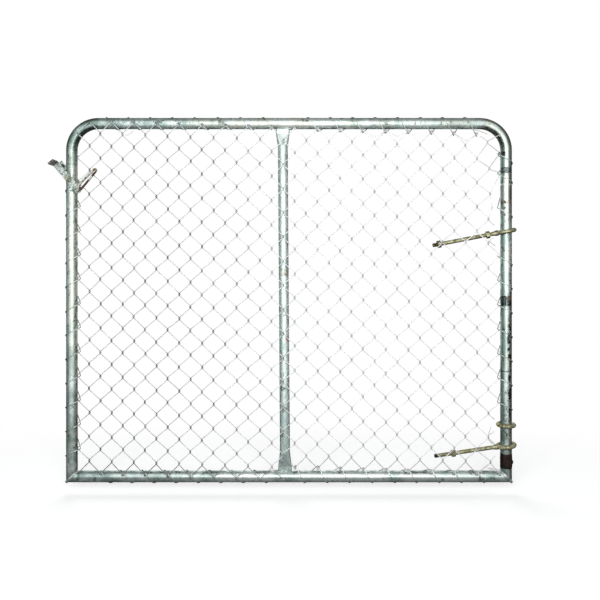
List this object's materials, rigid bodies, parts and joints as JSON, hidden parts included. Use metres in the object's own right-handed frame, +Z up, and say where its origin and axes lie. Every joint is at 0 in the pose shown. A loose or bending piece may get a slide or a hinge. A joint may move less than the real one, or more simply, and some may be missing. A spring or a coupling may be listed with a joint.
{
  "type": "chain-link gate leaf",
  "caption": "One leaf of a chain-link double gate: round-cornered tube frame with middle stile and wire mesh, hinge eye-bolts and a fork latch",
  "frame": {"origin": "on the axis of the hinge stile, at the foot of the frame", "axes": "+Z up along the hinge stile, the leaf reaches towards -X, its front with the mesh faces -Y"},
  "size_m": [1.3871, 0.1207, 1.099],
  "materials": {
    "frame_tube": "weathered galvanised",
    "weld": "galvanised over weld",
    "mesh_wire": "dull galvanised",
    "hinge_zinc": "yellow passivated zinc, dirty",
    "latch_zinc": "weathered galvanised",
    "latch_rod": "galvanised, rusting"
  },
  "bodies": {
    "leaf": {"bent_frame_tube": "frame_tube", "bottom_rail": "frame_tube", "middle_stile": "frame_tube", "corner_weld_beads": "weld", "middle_stile_weld_beads": "weld", "mesh_left_bay": "mesh_wire", "mesh_right_bay": "mesh_wire", "top_lacing": "mesh_wire", "bottom_lacing": "mesh_wire", "latch_side_lacing": "mesh_wire", "hinge_side_lacing": "mesh_wire", "stop_collar": "hinge_zinc", "latch_bolt": "hinge_zinc", "latch_bolt_nut": "hinge_zinc", "latch_spacers": "latch_zinc"},
    "upper_hinge": {"upper_eye_bolt": "hinge_zinc", "upper_inner_nut": "hinge_zinc", "upper_outer_nut": "hinge_zinc"},
    "lower_hinge": {"lower_eye_bolt": "hinge_zinc", "lower_nut": "hinge_zinc"},
    "fork": {"fork_front_strap": "latch_zinc", "fork_back_strap": "latch_zinc", "fork_stud": "latch_rod", "loop_rivet": "latch_zinc"},
    "loop": {"latch_loop": "latch_rod"}
  },
  "joints": [
    {"name": "upper_eye_swing", "type": "hinge", "parent": "leaf", "child": "upper_hinge", "pos_m": [0, 0, 0.752], "axis": [0, 0, -1], "range_deg": [0, 280]},
    {"name": "lower_eye_swing", "type": "hinge", "parent": "leaf", "child": "lower_hinge", "pos_m": [0, 0, 0.11], "axis": [0, 0, -1], "range_deg": [0, 280]},
    {"name": "fork_drop", "type": "hinge", "parent": "leaf", "child": "fork", "pos_m": [-1.3023, -0.0294, 0.906], "axis": [0, -1, 0], "range_deg": [-20, 49.7]},
    {"name": "loop_swing", "type": "hinge", "parent": "fork", "child": "loop", "pos_m": [-1.27449, -0.03795, 0.87321], "axis": [0, -1, 0], "range_deg": [-134, 38]}
  ]
}
